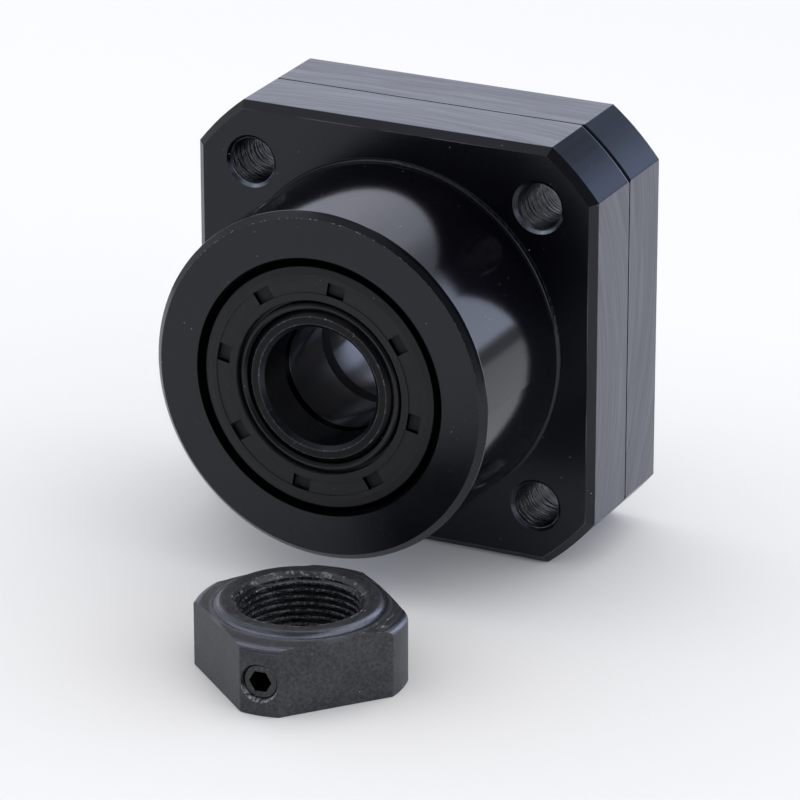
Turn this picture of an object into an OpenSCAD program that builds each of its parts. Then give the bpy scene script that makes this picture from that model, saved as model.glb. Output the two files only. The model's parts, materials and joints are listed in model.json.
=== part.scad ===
// Flange-type fixed-side support unit for the end of a ball screw.
// A square housing flange with a round spigot holds a pair of angular contact ball bearings.
// A cover plate clamps the bearings from behind, an oil seal closes each end, and two collars
// carry the seals.  The lock nut that clamps the screw shaft stands beside the unit.
// The shaft axis is Y.  The origin is where it crosses the mounting face; the spigot points to -Y.

/* [Mounting flange] */
// Width over the four flat sides
flange_w = 61; // [60:0.5:66]
// Metal left outside the bolt head holes at the turned corners
corner_wall = 2; // [1.5:0.1:4]
// Thickness of the housing's own flange
housing_plate_t = 11.2; // [10:0.2:13]
// Thickness of the cover plate
cover_plate_t = 10.5; // [9:0.1:13]
// Clamping gap that stays open between the two plates
plate_gap = 0.3; // [0.2:0.05:0.5]
// Bevel round the mounting face
front_bevel = 1.05; // [0.5:0.05:1.5]
// Bevel round the rear face
rear_bevel = 0.7; // [0.3:0.05:1.2]
// Small chamfer on the turned corners at the seam
seam_chamfer = 0.25; // [0.1:0.05:0.4]

/* [Spigot] */
// Diameter that centres the unit in its bracket
spigot_d = 50; // [49:0.5:52]
// Length from the mounting face to the nose
spigot_len = 23; // [22:0.5:26]
// Chamfer round the nose
nose_chamfer = 0.9; // [0.4:0.1:1.4]
// Fillet between spigot and mounting face
root_fillet = 0.55; // [0.3:0.05:0.8]

/* [Mounting holes] */
// Number of mounting holes
mount_holes = 4; // [4]
// Bolt circle
mount_pcd = 62; // [61:0.5:64]
// Clearance hole for an M6 bolt
mount_hole_d = 6.6; // [6.2:0.1:7]
// Chamfer at the mouth of each hole
mount_hole_chamfer = 0.55; // [0.3:0.05:0.8]
// Hole in the cover plate that takes the bolt head
mount_head_d = 11; // [10.5:0.1:11.6]

/* [Cover screws] */
// Number of M4 cap screws
cover_screw_count = 4; // [4]
// Bolt circle of the cap screws
cover_screw_pcd = 50; // [49:0.5:51]
// Thread diameter
cover_screw_d = 4; // [4:0.5:5]
// Head diameter
cover_screw_head_d = 7; // [6.5:0.1:7.2]
// Length under the head
cover_screw_len = 12; // [9:0.5:13]
// Width across flats of the socket
cover_screw_socket = 3; // [2.5:0.1:3.5]
// Diameter of the counterbore for the head
cover_screw_cbore_d = 7.6; // [7.6:0.1:8]
// Depth of the counterbore
cover_screw_cbore_deep = 4.4; // [4.2:0.1:5]

/* [Bearings] */
// Bore, the diameter of the screw's end journal
shaft_d = 17; // [16:0.5:17]
// Outside diameter
bearing_od = 40; // [39:0.5:41]
// Width of one bearing
bearing_w = 12; // [11.5:0.25:12.5]
// Ball diameter
ball_d = 6.75; // [6:0.25:6.75]
// Balls in one bearing
ball_count = 10; // [8:1:10]
// Corner chamfer of the rings
ring_chamfer = 1.1; // [0.5:0.1:1.2]
// Clearance between a ball and its races
race_gap = 0.03; // [0.02:0.01:0.05]
// Clearance between a ball and its cage pocket
pocket_gap = 0.12; // [0.1:0.02:0.15]
// Width of a cage
cage_w = 9.6; // [9:0.2:10]

/* [Seals] */
// Outside diameter of both oil seals
seal_od = 35; // [34.5:0.5:35.5]
// Width of a seal
seal_w = 7; // [6.5:0.25:7.5]
// Lead-in chamfer at the mouth of a seal seat
seal_lead_in = 0.9; // [0.5:0.1:1.2]
// Running gap between a lip and its collar
lip_gap = 0.04; // [0.03:0.01:0.08]
// Wire bundle diameter of the garter spring
garter_d = 1.3; // [1.1:0.1:1.4]
// Number of mould pockets in the seal's face
mould_pockets = 8; // [4:1:10]
// Length of a mould pocket along the circle
mould_pocket_len = 2.6; // [1.8:0.1:3]
// Depth of a mould pocket
mould_pocket_deep = 0.8; // [0.5:0.1:1.2]

/* [Collars] */
// Outside diameter of both collars
collar_od = 22; // [21.5:0.25:22.5]
// Distance of the front collar's face behind the nose
front_collar_inset = 0.1; // [0.05:0.05:1.2]
// Stand-out of the rear collar behind the rear face
rear_collar_standout = 2.85; // [2:0.05:4]
// Outer chamfer of a collar
collar_chamfer = 0.85; // [0.3:0.05:1]
// Chamfer at the mouth of a collar's bore
collar_bore_chamfer = 0.6; // [0.2:0.05:0.8]
// Chamfer on the edges that a collar hides
collar_seat_chamfer = 0.4; // [0.2:0.05:0.6]

/* [Lock nut] */
// Nominal thread diameter
nut_thread_d = 17; // [17:0.5:18]
// Thread pitch
nut_pitch = 1; // [0.75:0.25:1.25]
// Width across the flats
nut_flats = 24; // [23.5:0.25:25]
// Diameter of the turned corners
nut_corner_d = 29; // [28.5:0.25:30]
// Overall height
nut_h = 10.8; // [10.5:0.1:12]
// Height of the turned corners
nut_corner_h = 9.4; // [9:0.1:9.8]
// Rounding of the top edge of the turned corners
nut_round = 0.7; // [0.4:0.1:1]
// Outer diameter of the raised seat ring
nut_ring_d = 21.5; // [21:0.25:22]
// Diameter of the countersink at the thread's mouth
nut_mouth_d = 18; // [17.6:0.1:18.4]
// Distance of the nut's axis to the right of the unit's axis
nut_x = 9.3; // [0:0.1:20]
// Distance of the nut's axis in front of the mounting face
nut_ahead = 46.8; // [44:0.1:60]
// Turn of the nut on the floor, in degrees
nut_turn = -40.3; // [-90:0.1:90]

/* [Set screw] */
// Thread diameter
set_screw_d = 5; // [4:0.5:5]
// Length
set_screw_len = 3.8; // [3.5:0.1:4]
// Width across flats of the socket
set_screw_socket = 2.5; // [2:0.1:2.5]
// Height of the set screw above the nut's lower face
set_screw_z = 4.6; // [4.2:0.1:5.2]
// Diameter of the soft set piece that the screw presses on the thread
set_piece_d = 4; // [3:0.1:4.2]
// Length of the set piece
set_piece_len = 1.4; // [1.2:0.1:1.6]

/* [Hidden] */
$fn = 96;

black_oxide = "#3a3e45";
ground_steel = "#a9adb2";
rubber = "#1d201f";
brass = "#b6923f";
polyamide = "#c9b88a";

eps = 0.01;
seat_gap = 0.02;              // play of a part that is pushed into its seat
thread_gap = 0.05;            // play of a screw drawn without its thread

flange_d = mount_pcd + mount_head_d + 2*corner_wall;   // circle that the corners are turned to

// Stations along the shaft axis, measured from the mounting face; the nose is negative
nose = -spigot_len;
front_shoulder = nose + seal_w;                    // front face of the bearing pair
bearing_mid = front_shoulder + bearing_w;          // where the two bearings meet
cover_seat = bearing_mid + bearing_w;              // the cover spigot presses here
seam = housing_plate_t;
cover_front = seam + plate_gap;
rear_face = cover_front + cover_plate_t;
front_collar_face = nose + front_collar_inset;
rear_collar_face = rear_face + rear_collar_standout;
floor_z = -flange_w/2;

// Radii of the bearing parts
ball_r = ball_d/2;
pitch_r = (bearing_od + shaft_d)/4;                // ball centres run midway between bore and rim
race_r = ball_r + race_gap;
outer_high_r = pitch_r + 0.52*ball_r;              // shoulder that takes the thrust
outer_low_r = pitch_r + 0.84*ball_r;               // shoulder that lets the balls in
inner_high_r = pitch_r - 0.52*ball_r;
inner_low_r = pitch_r - 0.84*ball_r;
cage_outer_r = outer_high_r - 0.3;
cage_inner_r = inner_high_r + 0.3;
cover_bore_r = outer_high_r + 0.6;

// Radii of the seal
seal_r = seal_od/2 - seat_gap;
lip_r = collar_od/2 + lip_gap;
seal_edge = 0.45;                                  // drop of the face towards the seal's outer edge
face_inner_r = collar_od/2 + 1.5;                  // where the flat face ends
letter_band = [face_inner_r + 1.1, seal_od/2 - 2]; // radii of the moulded band on the face
letter_band_deep = 0.1;
mould_pocket_turn = 10.7;                          // angle of the first pocket

// Stations of the set screw, measured out from the nut's axis
nut_minor_r = (nut_thread_d - 1.0825*nut_pitch)/2;
nut_major_r = nut_thread_d/2;
set_piece_tip = nut_major_r + 0.2;
set_screw_tip = set_piece_tip + set_piece_len;
set_screw_r = set_screw_d/2 - thread_gap;
nut_corner = 45;                                   // the screw sits in a corner, 45 from a flat

// ---------- helpers ----------

// Turns a shape drawn along +Z so that it lies along the shaft axis, +Z becoming +Y
module on_axis() rotate([-90, 0, 0]) children();

// Solid of revolution about the shaft axis; x is the radius and y the station
module turned() on_axis() rotate_extrude() children();

// Places children round the shaft axis, starting at an angle
module round_axis(count, radius, first = 0)
    for (i = [0 : count - 1]) rotate([0, 0, first + i*360/count]) translate([radius, 0, 0]) children();

// Rectangle from corner to corner
module span(r0, z0, r1, z1) translate([r0, z0]) square([r1 - r0, z1 - z0]);

// Half section of a ring with a 45 degree chamfer on each corner: bore front, bore rear, rim front, rim rear
module ring_section(r0, r1, z0, z1, bore_f, bore_r, rim_f, rim_r)
    polygon([
        [r0 + bore_f, z0], [r1 - rim_f, z0], [r1, z0 + rim_f], [r1, z1 - rim_r],
        [r1 - rim_r, z1], [r0 + bore_r, z1], [r0, z1 - bore_r], [r0, z0 + bore_f]
    ]);

// Square bar along Y with a bevel on the edges of its lower or its upper end
module bevelled_bar(w, z0, z1, low, high) {
    half = w/2;
    foot = low > 0 ? [[half - low, z0], [half, z0 + low]] : [[half, z0]];
    head = high > 0 ? [[half, z1 - high], [half - high, z1]] : [[half, z1]];
    right = concat(foot, head);
    left = [for (i = [len(right) - 1 : -1 : 0]) [-right[i][0], right[i][1]]];
    rotate([90, 0, 0]) linear_extrude(height = 2*w, center = true) polygon(concat(right, left));
}

// Square flange plate with turned corners; every edge of an end has the same bevel
module flange_plate(z0, z1, flat_low, flat_high, turned_low, turned_high) {
    corner_r = flange_d/2;
    on_axis() intersection() {
        bevelled_bar(flange_w, z0, z1, flat_low, flat_high);
        rotate([0, 0, 90]) bevelled_bar(flange_w, z0, z1, flat_low, flat_high);
        rotate_extrude() polygon([
            [0, z0], [corner_r - turned_low, z0], [corner_r, z0 + turned_low],
            [corner_r, z1 - turned_high], [corner_r - turned_high, z1], [0, z1]
        ]);
    }
}

// ---------- housing and cover ----------

module housing_bores() {
    turned() {
        // seat of the front seal, with its lead-in
        span(0, nose - 1, seal_od/2, front_shoulder + eps);
        polygon([
            [0, nose - 1], [seal_od/2 + seal_lead_in + 1, nose - 1],
            [seal_od/2, nose + seal_lead_in], [0, nose + seal_lead_in]
        ]);
        // seat of the bearing pair
        span(0, front_shoulder, bearing_od/2, seam + 1);
    }
    on_axis() {
        round_axis(mount_holes, mount_pcd/2, 45) {
            translate([0, 0, -1]) cylinder(d = mount_hole_d, h = seam + 2);
            cylinder(d1 = mount_hole_d + 2*mount_hole_chamfer, d2 = mount_hole_d, h = mount_hole_chamfer);
        }
        // blind threads for the cover screws, with the cone that the drill leaves
        round_axis(cover_screw_count, cover_screw_pcd/2) {
            tapped_from = rear_face - cover_screw_cbore_deep - cover_screw_len - 1;
            tapped_r = cover_screw_d/2 + thread_gap;
            translate([0, 0, tapped_from]) cylinder(r = tapped_r, h = seam - tapped_from + 1);
            translate([0, 0, tapped_from - tapped_r/2]) cylinder(r1 = 0.05, r2 = tapped_r, h = tapped_r/2);
        }
    }
}

module housing() color(black_oxide) difference() {
    union() {
        flange_plate(0, seam, front_bevel, 0, front_bevel, seam_chamfer);
        turned() {
            polygon([
                [0, nose], [spigot_d/2 - nose_chamfer, nose], [spigot_d/2, nose + nose_chamfer],
                [spigot_d/2, 1], [0, 1]
            ]);
            // fillet in the corner where the spigot meets the mounting face
            difference() {
                span(spigot_d/2 - eps, -root_fillet, spigot_d/2 + root_fillet, eps);
                translate([spigot_d/2 + root_fillet, -root_fillet]) circle(r = root_fillet);
            }
        }
    }
    housing_bores();
}

module cover_plate() color(black_oxide) difference() {
    union() {
        flange_plate(cover_front, rear_face, 0, rear_bevel, seam_chamfer, rear_bevel);
        // short spigot that presses on the rear bearing's outer ring
        turned() span(0, cover_seat, bearing_od/2 - seat_gap, cover_front + 1);
    }
    turned() {
        span(0, cover_seat - 1, cover_bore_r, rear_face - seal_w + eps);
        span(0, rear_face - seal_w, seal_od/2, rear_face + 1);
        polygon([
            [0, rear_face + 1], [0, rear_face - seal_lead_in], [seal_od/2, rear_face - seal_lead_in],
            [seal_od/2 + seal_lead_in + 1, rear_face + 1]
        ]);
    }
    on_axis() {
        round_axis(mount_holes, mount_pcd/2, 45)
            translate([0, 0, cover_front - 1]) cylinder(d = mount_head_d, h = cover_plate_t + 2);
        round_axis(cover_screw_count, cover_screw_pcd/2) {
            translate([0, 0, cover_front - 1])
                cylinder(r = cover_screw_d/2 + thread_gap, h = cover_plate_t + 2);
            translate([0, 0, rear_face - cover_screw_cbore_deep])
                cylinder(d = cover_screw_cbore_d, h = cover_screw_cbore_deep + 1);
        }
    }
}

// Cap screw with its head at the top, the underside of the head at z = 0
module cap_screw(d, head_d, under_head, socket) {
    head_h = d;
    edge = 0.3;
    difference() {
        union() {
            rotate_extrude() polygon([
                [0, 0], [head_d/2, 0], [head_d/2, head_h - edge], [head_d/2 - edge, head_h], [0, head_h]
            ]);
            rotate_extrude() polygon([
                [0, -under_head], [d/2 - 2*edge, -under_head], [d/2, -under_head + 2*edge], [d/2, 1], [0, 1]
            ]);
        }
        translate([0, 0, head_h/2]) cylinder(r = socket/sqrt(3), h = head_h, $fn = 6);
    }
}

module cover_screws() color(black_oxide) on_axis()
    round_axis(cover_screw_count, cover_screw_pcd/2)
        translate([0, 0, rear_face - cover_screw_cbore_deep])
            cap_screw(cover_screw_d, cover_screw_head_d, cover_screw_len, cover_screw_socket);

// ---------- oil seals ----------

// Half section of a seal: x is the radius, y the depth behind its outer face
module seal_section() {
    web_t = 1.7;                    // thickness of the web behind the face
    wall_t = 1.3;                   // thickness of the seated wall
    groove = 1.3;                   // depth of the groove between face and dust lip
    wall_r = seal_r - wall_t;
    difference() {
        polygon([
            // flat face with the moulded band
            [face_inner_r, 0.1], [face_inner_r + 0.1, 0], [letter_band[0], 0],
            [letter_band[0], letter_band_deep], [letter_band[1], letter_band_deep], [letter_band[1], 0],
            // the face falls away towards the seated wall
            [letter_band[1] + 0.7, 0], [seal_r - 0.2, seal_edge - 0.15], [seal_r, seal_edge],
            [seal_r, seal_w - 0.6], [seal_r - 0.6, seal_w], [wall_r, seal_w],
            [wall_r, web_t + 0.3], [wall_r - 0.3, web_t], [face_inner_r + 1.3, web_t],
            // main lip
            [face_inner_r + 0.7, web_t + 1.3], [face_inner_r + 1.1, seal_w - 2.6],
            [face_inner_r + 0.9, seal_w - 0.9], [face_inner_r - 0.1, seal_w - 0.9], [lip_r, seal_w - 2.6],
            [face_inner_r - 0.5, seal_w - 3.6], [face_inner_r - 0.3, web_t + 0.5],
            // dust lip, its rounded back towards the outside
            [face_inner_r - 0.6, web_t + 0.2], [lip_r + 0.3, web_t + 0.1], [lip_r, 0.7],
            [lip_r + 0.02, 0.5], [lip_r + 0.12, 0.38], [face_inner_r - 1.05, 0.2], [face_inner_r - 0.8, 0.18],
            [face_inner_r - 0.58, 0.3], [face_inner_r - 0.45, 0.5], [face_inner_r - 0.4, groove],
            [face_inner_r, groove]
        ]);
        translate([face_inner_r + 1.05, seal_w - 1.9]) circle(d = garter_d + 0.1);
    }
}

// Seal standing on its outer face, with the mould pockets cut into that face
module oil_seal() color(rubber) difference() {
    rotate_extrude() seal_section();
    round_axis(mould_pockets, (letter_band[0] + letter_band[1])/2, mould_pocket_turn)
        translate([0, 0, mould_pocket_deep/2 - 0.5])
            cube([letter_band[1] - letter_band[0], mould_pocket_len, mould_pocket_deep + 1], center = true);
}

// Garter spring, drawn as the ring that its closed coils fill
module garter_spring() color(ground_steel)
    rotate_extrude() translate([face_inner_r + 1.05, seal_w - 1.9]) circle(d = garter_d - 0.02, $fn = 32);

// Seats a seal part in the nose, or mirrored in the rear face
module in_nose() on_axis() translate([0, 0, nose]) children();
module in_rear() on_axis() translate([0, 0, rear_face]) mirror([0, 0, 1]) children();

module front_seal() in_nose() oil_seal();
module front_seal_spring() in_nose() garter_spring();
module rear_seal() in_rear() oil_seal();
module rear_seal_spring() in_rear() garter_spring();

// ---------- collars ----------

module front_collar() color(ground_steel) turned()
    ring_section(shaft_d/2, collar_od/2, front_collar_face, front_shoulder,
        collar_bore_chamfer, collar_seat_chamfer, collar_chamfer, collar_seat_chamfer);

module rear_collar() color(ground_steel) turned()
    ring_section(shaft_d/2, collar_od/2, cover_seat, rear_collar_face,
        collar_seat_chamfer, collar_bore_chamfer, collar_seat_chamfer, collar_chamfer);

// ---------- bearings ----------

// Stands a bearing part with its thrust side towards the nose at z = 0, or mirrored behind it
module front_bearing() on_axis() translate([0, 0, front_shoulder]) children();
module rear_bearing() on_axis() translate([0, 0, cover_seat]) mirror([0, 0, 1]) children();

module race_groove() translate([pitch_r, bearing_w/2]) circle(r = race_r);

module outer_ring() color(ground_steel) rotate_extrude() difference() {
    rim_r = bearing_od/2 - seat_gap;
    polygon([
        [outer_high_r, 0], [rim_r - ring_chamfer, 0], [rim_r, ring_chamfer], [rim_r, bearing_w - ring_chamfer],
        [rim_r - ring_chamfer, bearing_w], [outer_low_r + 0.3, bearing_w],
        [outer_low_r, bearing_w/2 + 1], [outer_high_r, bearing_w/2 - 1]
    ]);
    race_groove();
}

module inner_ring() color(ground_steel) rotate_extrude() difference() {
    bore_r = shaft_d/2;
    polygon([
        [bore_r + ring_chamfer, 0], [inner_low_r - 0.2, 0], [inner_low_r, bearing_w/2 - 1],
        [inner_high_r, bearing_w/2 + 1], [inner_high_r, bearing_w],
        [bore_r + ring_chamfer, bearing_w], [bore_r, bearing_w - ring_chamfer], [bore_r, ring_chamfer]
    ]);
    race_groove();
}

module ball_cage() color(polyamide) translate([0, 0, bearing_w/2]) difference() {
    rotate_extrude() ring_section(cage_inner_r, cage_outer_r, -cage_w/2, cage_w/2, 0.2, 0.2, 0.2, 0.2);
    for (i = [0 : ball_count - 1])
        rotate([0, 0, i*360/ball_count]) rotate([0, 90, 0]) cylinder(r = ball_r + pocket_gap, h = bearing_od);
}

module balls() color(ground_steel) translate([0, 0, bearing_w/2])
    round_axis(ball_count, pitch_r) sphere(d = ball_d, $fn = 32);

module front_bearing_outer_ring() front_bearing() outer_ring();
module front_bearing_inner_ring() front_bearing() inner_ring();
module front_bearing_cage() front_bearing() ball_cage();
module front_bearing_balls() front_bearing() balls();
module rear_bearing_outer_ring() rear_bearing() outer_ring();
module rear_bearing_inner_ring() rear_bearing() inner_ring();
module rear_bearing_cage() rear_bearing() ball_cage();
module rear_bearing_balls() rear_bearing() balls();

// ---------- lock nut ----------

// Stands a part of the nut on the floor beside the unit
module on_floor() translate([nut_x, -nut_ahead, floor_z]) rotate([0, 0, nut_turn]) children();

// Lays a part drawn along +Z into the set screw's hole, pointing out through the corner
module in_nut_corner() translate([0, 0, set_screw_z]) rotate([0, 0, -nut_corner]) rotate([0, 90, 0]) children();

// Turned outline of the nut: seat ring, shoulder fillet, shallow cone and corners
module nut_section() {
    ring_r = nut_ring_d/2;
    corner_r = nut_corner_d/2;
    step_r = ring_r + 0.35;                // foot of the bevelled seat ring
    step_z = nut_h - 0.6;
    fillet = 0.5;
    edge = 0.15;
    cone_rise = (step_z - fillet/2 - nut_corner_h)/(corner_r - step_r - fillet);
    difference() {
        polygon([
            [0, 0], [corner_r - edge, 0], [corner_r, edge], [corner_r, nut_corner_h - nut_round],
            [corner_r - 0.2*nut_round, nut_corner_h - 0.3*nut_round],
            [corner_r - nut_round, nut_corner_h + nut_round*cone_rise],
            [step_r + fillet, step_z - fillet/2], [step_r, step_z], [ring_r, nut_h], [0, nut_h]
        ]);
        translate([step_r + fillet, step_z]) circle(r = fillet);
    }
}

module lock_nut() color(black_oxide) on_floor() difference() {
    intersection() {
        rotate_extrude() nut_section();
        translate([-nut_flats/2, -nut_flats/2, 0]) cube([nut_flats, nut_flats, nut_h]);
    }
    mouth = nut_mouth_d/2 - nut_minor_r;
    translate([0, 0, -1]) cylinder(r = nut_minor_r, h = nut_h + 2);
    translate([0, 0, nut_h - mouth]) cylinder(r1 = nut_minor_r, r2 = nut_mouth_d/2 + eps, h = mouth + eps);
    translate([0, 0, -eps]) cylinder(r1 = nut_mouth_d/2 + eps, r2 = nut_minor_r, h = mouth + eps);
    in_nut_corner() {
        cylinder(d = set_screw_d, h = nut_corner_d);
        translate([0, 0, nut_corner_d/2 - 0.3]) cylinder(d1 = set_screw_d, d2 = set_screw_d + 2, h = 1);
    }
}

// Headless screw with a hexagon socket; both ends are chamfered
module set_screw() color(black_oxide) on_floor() in_nut_corner() translate([0, 0, set_screw_tip]) difference() {
    edge = 0.4;
    rotate_extrude() polygon([
        [0, 0], [set_screw_r - edge, 0], [set_screw_r, edge], [set_screw_r, set_screw_len - edge],
        [set_screw_r - edge, set_screw_len], [0, set_screw_len]
    ]);
    translate([0, 0, set_screw_len - 1.8]) cylinder(r = set_screw_socket/sqrt(3), h = 3, $fn = 6);
}

module set_piece() color(brass) on_floor() in_nut_corner()
    translate([0, 0, set_piece_tip]) cylinder(d = set_piece_d, h = set_piece_len);

housing();
cover_plate();
cover_screws();
front_seal();
front_seal_spring();
rear_seal();
rear_seal_spring();
front_collar();
rear_collar();
front_bearing_outer_ring();
front_bearing_inner_ring();
front_bearing_cage();
front_bearing_balls();
rear_bearing_outer_ring();
rear_bearing_inner_ring();
rear_bearing_cage();
rear_bearing_balls();
lock_nut();
set_screw();
set_piece();
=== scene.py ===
import json
import math

import bpy
import bmesh
from mathutils import Matrix, Vector


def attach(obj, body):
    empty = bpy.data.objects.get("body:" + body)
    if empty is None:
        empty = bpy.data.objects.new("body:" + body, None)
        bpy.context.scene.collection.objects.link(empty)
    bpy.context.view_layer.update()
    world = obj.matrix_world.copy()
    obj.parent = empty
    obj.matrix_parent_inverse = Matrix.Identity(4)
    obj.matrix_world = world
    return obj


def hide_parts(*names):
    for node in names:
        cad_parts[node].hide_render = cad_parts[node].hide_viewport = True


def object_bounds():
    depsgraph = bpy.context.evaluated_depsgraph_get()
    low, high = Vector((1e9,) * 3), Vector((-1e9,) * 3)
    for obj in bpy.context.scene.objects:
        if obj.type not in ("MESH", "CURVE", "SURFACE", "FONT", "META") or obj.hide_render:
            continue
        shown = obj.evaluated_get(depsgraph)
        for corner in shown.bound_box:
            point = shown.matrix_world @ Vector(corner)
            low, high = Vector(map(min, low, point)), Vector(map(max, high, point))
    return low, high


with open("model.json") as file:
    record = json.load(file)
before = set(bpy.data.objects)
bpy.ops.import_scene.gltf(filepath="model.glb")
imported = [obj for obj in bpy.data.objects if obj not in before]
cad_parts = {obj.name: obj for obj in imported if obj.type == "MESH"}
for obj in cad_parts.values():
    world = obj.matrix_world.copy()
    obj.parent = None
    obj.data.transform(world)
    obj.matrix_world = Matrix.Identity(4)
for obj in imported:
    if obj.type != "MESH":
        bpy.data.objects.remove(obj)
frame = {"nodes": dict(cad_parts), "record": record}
cad_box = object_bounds()
nodes = frame["nodes"]
scene = bpy.context.scene
MM = 0.001

# ---------------------------------------------------------------- sizes
# in mm, as the part's source has them; y runs from the mounting face into the depth
FLOOR_Z = -30.5
FLANGE_R, CORNER_R, FRONT_BEVEL = 30.5, 38.5, 1.05      # to the flats, to the turned corners
SEAM_Y, SEAM_GAP, REAR_FACE = 11.2, 0.3, 22.0           # the seam lies between the two plates
SPIGOT_R, NOSE_Y, NOSE_CHAMFER = 25.0, -23.0, 0.9
MOUNT_PCD, MOUNT_HOLE_R, MOUNT_CHAMFER = 62.0, 3.3, 0.55
BORE_R, BEARING_MID = 8.5, -4.0                         # the two bearings meet at BEARING_MID
SEAL_R, SEAL_LEAD_IN, SEAL_FACE = 17.5, 0.9, 22.5
SEAL_BAND = (13.6, 15.5)                                # radii of the moulded band
COLLAR_R, COLLAR_CHAMFER, COLLAR_BORE_CHAMFER = 11.0, 0.85, 0.6
SCREW_PCD, SCREW_CBORE, SCREW_LEN = 50.0, 4.4, 12.0     # cap screws of the cover

NUT_X, NUT_AHEAD, NUT_TURN = 9.3, 46.8, -40.3
NUT_H, NUT_CORNER_H = 10.8, 9.4
NUT_CORNER_R, NUT_HALF, NUT_RING_R, NUT_MOUTH_R = 14.5, 12.0, 10.75, 9.0
NUT_MINOR_R = (17 - 1.0825) / 2                         # of its M17 x 1 thread
SET_SCREW_Z, SET_SCREW_TIP, SET_SCREW_LEN, SET_SCREW_R = 4.6, 10.1, 3.8, 2.45
SET_SCREW_HOLE_R = 2.5
SET_SCREW_TURN = -45.0                                  # from the nut's own x to its corner

ON_FLOOR = (Matrix.Translation((NUT_X * MM, -NUT_AHEAD * MM, FLOOR_Z * MM))
            @ Matrix.Rotation(math.radians(NUT_TURN), 4, "Z"))
# the set screw lies along the nut's corner: its own z runs outwards
ALONG_CORNER = Matrix.Translation((0, 0, SET_SCREW_Z)) @ (
    Matrix.Rotation(math.radians(SET_SCREW_TURN), 4, "Z")
    @ Matrix.Rotation(math.pi / 2, 4, "Y"))


# ---------------------------------------------------------------- camera
CAMERA_AT = (0.30155634, -0.61283689, 0.26213968)
CAMERA_RIGHT = (0.89807621, 0.43983823, -0.0012077)
CAMERA_UP = (-0.16176996, 0.33285806, 0.9289973)
LENS_MM = 237.2625


def look(name, place, right, up, lens):
    """Camera at a place, its picture's right and up along the two directions."""
    data = bpy.data.cameras.new(name)
    data.lens = lens
    data.sensor_width = 36.0
    data.clip_start = 0.01
    data.clip_end = 20.0
    obj = bpy.data.objects.new(name, data)
    r, u = Vector(right).normalized(), Vector(up).normalized()
    b = r.cross(u).normalized()
    u = b.cross(r)
    obj.matrix_world = Matrix(((r.x, u.x, b.x, place[0]), (r.y, u.y, b.y, place[1]),
                               (r.z, u.z, b.z, place[2]), (0, 0, 0, 1)))
    scene.collection.objects.link(obj)
    return obj


scene.camera = look("camera", CAMERA_AT, CAMERA_RIGHT, CAMERA_UP, LENS_MM)


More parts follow.
